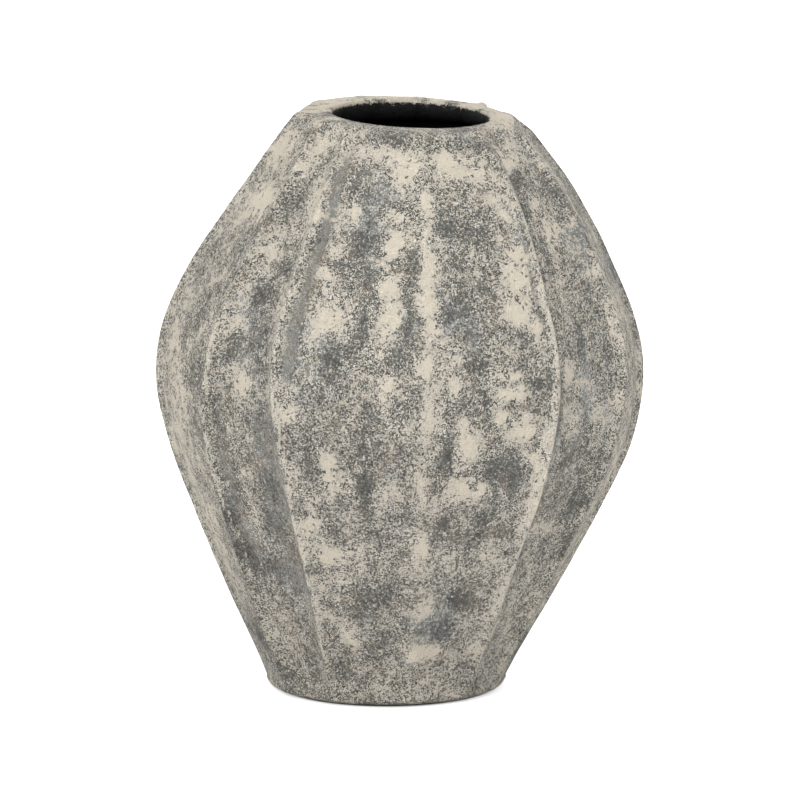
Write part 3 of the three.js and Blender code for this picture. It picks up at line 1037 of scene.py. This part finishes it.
# The pressed pot moves until its middle is that of its solids, and then its skin is worked.
low = np.min([np.array(p.bound_box).min(0) for p in pieces.values()], 0)
high = np.max([np.array(p.bound_box).max(0) for p in pieces.values()], 0)
to_cad = (np.array(cad_box[0]) + np.array(cad_box[1]) - low - high)[:2] / 2
for piece in pieces.values():
    corners = np.empty(len(piece.data.vertices) * 3)
    piece.data.vertices.foreach_get("co", corners)
    corners = corners.reshape(-1, 3)
    corners[:, :2] += to_cad
    piece.data.vertices.foreach_set("co", corners.ravel())
    piece.data.update()
    bpy.context.view_layer.update()
    worked(piece, press, {"Material": clay})

stuck = put_in_scene("limewash_crumbs", pieces["lobed_wall"].data.copy())
bpy.context.view_layer.update()
worked(stuck, crumbs(), {"Material": dried_limewash()})

slots = {"lobed_wall": "wall_clay", "foot_slab": "foot_clay", "rim_coil": "lip_clay"}
for cad_name, slot in slots.items():
    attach(pieces[cad_name], "root")
    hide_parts(cad_name)
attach(stuck, "root")
felt = pressed_felt()
for cad_name in ("felt_pad_right", "felt_pad_back", "felt_pad_left", "felt_pad_front"):
    pad = felt_pad(cad_name, felt)
    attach(pad, "root")
    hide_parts(cad_name)

# Lamps of the studio: place and width in metres, and power in watts
LAMPS = {
    "key": ((-1.4, -2.8, 2.0), 1.6, 52),
    "top": ((0.2, -0.4, 3.0), 1.5, 20),
    "fill": ((2.4, -2.2, 1.0), 2.0, 14),
    "back": ((0.6, 3.2, 1.4), 2.0, 34),
}

# The table reaches this many metres each way.
TABLE_REACH = 6

# How strongly the even room lights the vase
ROOM_LIGHT = 0.88

# How much brighter the camera sees the open table, so that it is white, and how many millimetres
# inside the edge of the foot's flat that starts and is whole
TABLE_LIFT = 0.55
LIFT_STARTS, LIFT_WHOLE = 4, 1


def white_table():
    """A white table that runs out of view, and keeps the dark line under the foot."""
    far = TABLE_REACH
    mesh = bpy.data.meshes.new("table")
    corners = [(-far, -far, 0), (far, -far, 0), (far, far, 0), (-far, far, 0)]
    mesh.from_pydata(corners, [], [(0, 1, 2, 3)])
    table = put_in_scene("table", mesh)
    paper, tree = new_finish("white paper")
    low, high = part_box("foot_slab")
    under = ((low.x + high.x) / 2, (low.y + high.y) / 2, 0)
    edge = (FOOT_RADIUS - FOOT_CORNER_RADIUS) * MM
    here = node(tree, "ShaderNodeTexCoord").outputs["Object"]
    away = node(tree, "ShaderNodeVectorMath", {0: here, 1: under}, operation="DISTANCE")
    open_table = node(
        tree, "ShaderNodeMapRange",
        {
            "Value": away.outputs["Value"],
            "From Min": edge - LIFT_STARTS * MM,
            "From Max": edge - LIFT_WHOLE * MM,
            "To Max": TABLE_LIFT,
        },
    )
    seen = node(tree, "ShaderNodeLightPath").outputs["Is Camera Ray"]
    lift = node(tree, "ShaderNodeMath", {0: seen, 1: open_table.outputs[0]}, operation="MULTIPLY")
    glow = node(
        tree, "ShaderNodeEmission", {"Color": (1, 1, 1, 1), "Strength": lift.outputs[0]}
    )
    dull = node(tree, "ShaderNodeBsdfDiffuse", {"Color": (0.9, 0.9, 0.9, 1)})
    both = node(tree, "ShaderNodeAddShader", {0: glow.outputs[0], 1: dull.outputs[0]})
    node(tree, "ShaderNodeOutputMaterial", {"Surface": both.outputs[0]})
    mesh.materials.append(paper)


def studio():
    """An even white room, a soft key from the upper left, and weaker lamps round the vase."""
    world = bpy.data.worlds.new("room")
    bpy.context.scene.world = world
    world.use_nodes = True
    tree = world.node_tree
    tree.nodes.clear()
    seen = node(tree, "ShaderNodeLightPath").outputs["Is Camera Ray"]
    level = node(
        tree, "ShaderNodeMapRange", {"Value": seen, "To Min": ROOM_LIGHT, "To Max": 1.0}
    )
    sky = node(
        tree, "ShaderNodeBackground", {"Color": (1, 1, 1, 1), "Strength": level.outputs[0]}
    )
    node(tree, "ShaderNodeOutputWorld", {"Surface": sky.outputs[0]})

    middle = Vector((0, 0, 0.18))
    for name, (place, width, power) in LAMPS.items():
        lamp = bpy.data.lights.new(name, "AREA")
        lamp.size, lamp.energy = width, power
        holder = put_in_scene(name, lamp)
        holder.location = place
        holder.rotation_euler = (middle - Vector(place)).to_track_quat("-Z", "Y").to_euler()


def camera():
    """A long lens from 10 m, 11 degrees above level, as flat as the photograph's view."""
    target = Vector((0, 0, 0.1782))
    elevation, distance, seen_width = math.radians(11), 10, 0.4906
    sensor_width = 36
    lens = bpy.data.cameras.new("camera")
    lens.sensor_width = sensor_width
    lens.lens = sensor_width * distance / seen_width
    lens.clip_end = 60
    view = put_in_scene("camera", lens)
    view.location = target + distance * Vector((0, -math.cos(elevation), math.sin(elevation)))
    view.rotation_euler = (target - view.location).to_track_quat("-Z", "Y").to_euler()
    bpy.context.scene.camera = view


white_table()
studio()
camera()
bpy.context.scene.view_settings.view_transform = "Standard"
bpy.context.view_layer.update()
